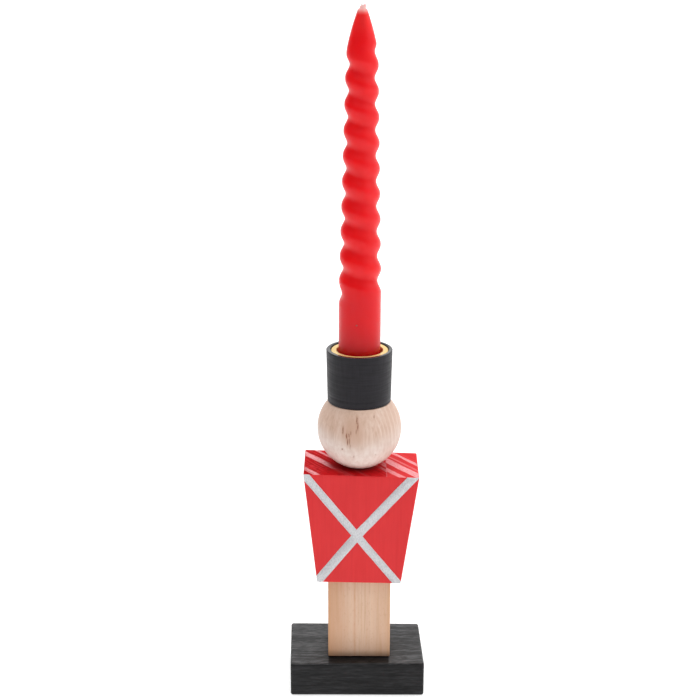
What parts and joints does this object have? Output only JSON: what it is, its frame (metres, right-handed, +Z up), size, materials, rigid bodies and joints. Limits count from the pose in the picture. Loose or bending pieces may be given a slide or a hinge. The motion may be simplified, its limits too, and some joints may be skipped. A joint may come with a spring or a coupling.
{
  "type": "soldier candle holder",
  "caption": "Free-standing wooden soldier figure with a brass cup in its hat that holds a spiral taper candle.",
  "frame": {"origin": "middle of the underside of the base block, on the surface that the figure stands on", "axes": "+Z up along the candle, +X to the viewer's right as the figure is seen from the front, -Y towards the viewer"},
  "size_m": [0.074, 0.046, 0.3774],
  "materials": {
    "black_stained_wood": "matt black stain, grain showing, edges a little worn",
    "natural_pine": "bare sanded pine, upright grain",
    "red_painted_wood": "thin satin red paint with two crossed pale grey painted belts; end grain shows pink through the paint on top",
    "pale_wood": "bare sanded pale wood with small brown flecks",
    "black_painted_wood": "matt black paint",
    "brass_plate": "bright satin brass",
    "red_wax": "solid-coloured satin wax",
    "cotton_wick": "waxed braided cotton",
    "beech": "plain beech dowel",
    "zinc_steel": "zinc-plated steel screw"
  },
  "bodies": {
    "holder": {"base_block": "black_stained_wood", "base_screw_left": "zinc_steel", "base_screw_right": "zinc_steel", "leg_block": "natural_pine", "leg_dowel_left": "beech", "leg_dowel_right": "beech", "torso_block": "red_painted_wood", "neck_dowel": "beech", "head_ball": "pale_wood", "hat_block": "black_painted_wood", "candle_cup": "brass_plate", "cup_screw": "zinc_steel"},
    "candle": {"candle_wax": "red_wax", "candle_wick": "cotton_wick"}
  },
  "joints": [
    {"name": "candle_lift", "type": "slide", "parent": "holder", "child": "candle", "axis": [0, 0, 1], "range_m": [0, 0.03]}
  ]
}
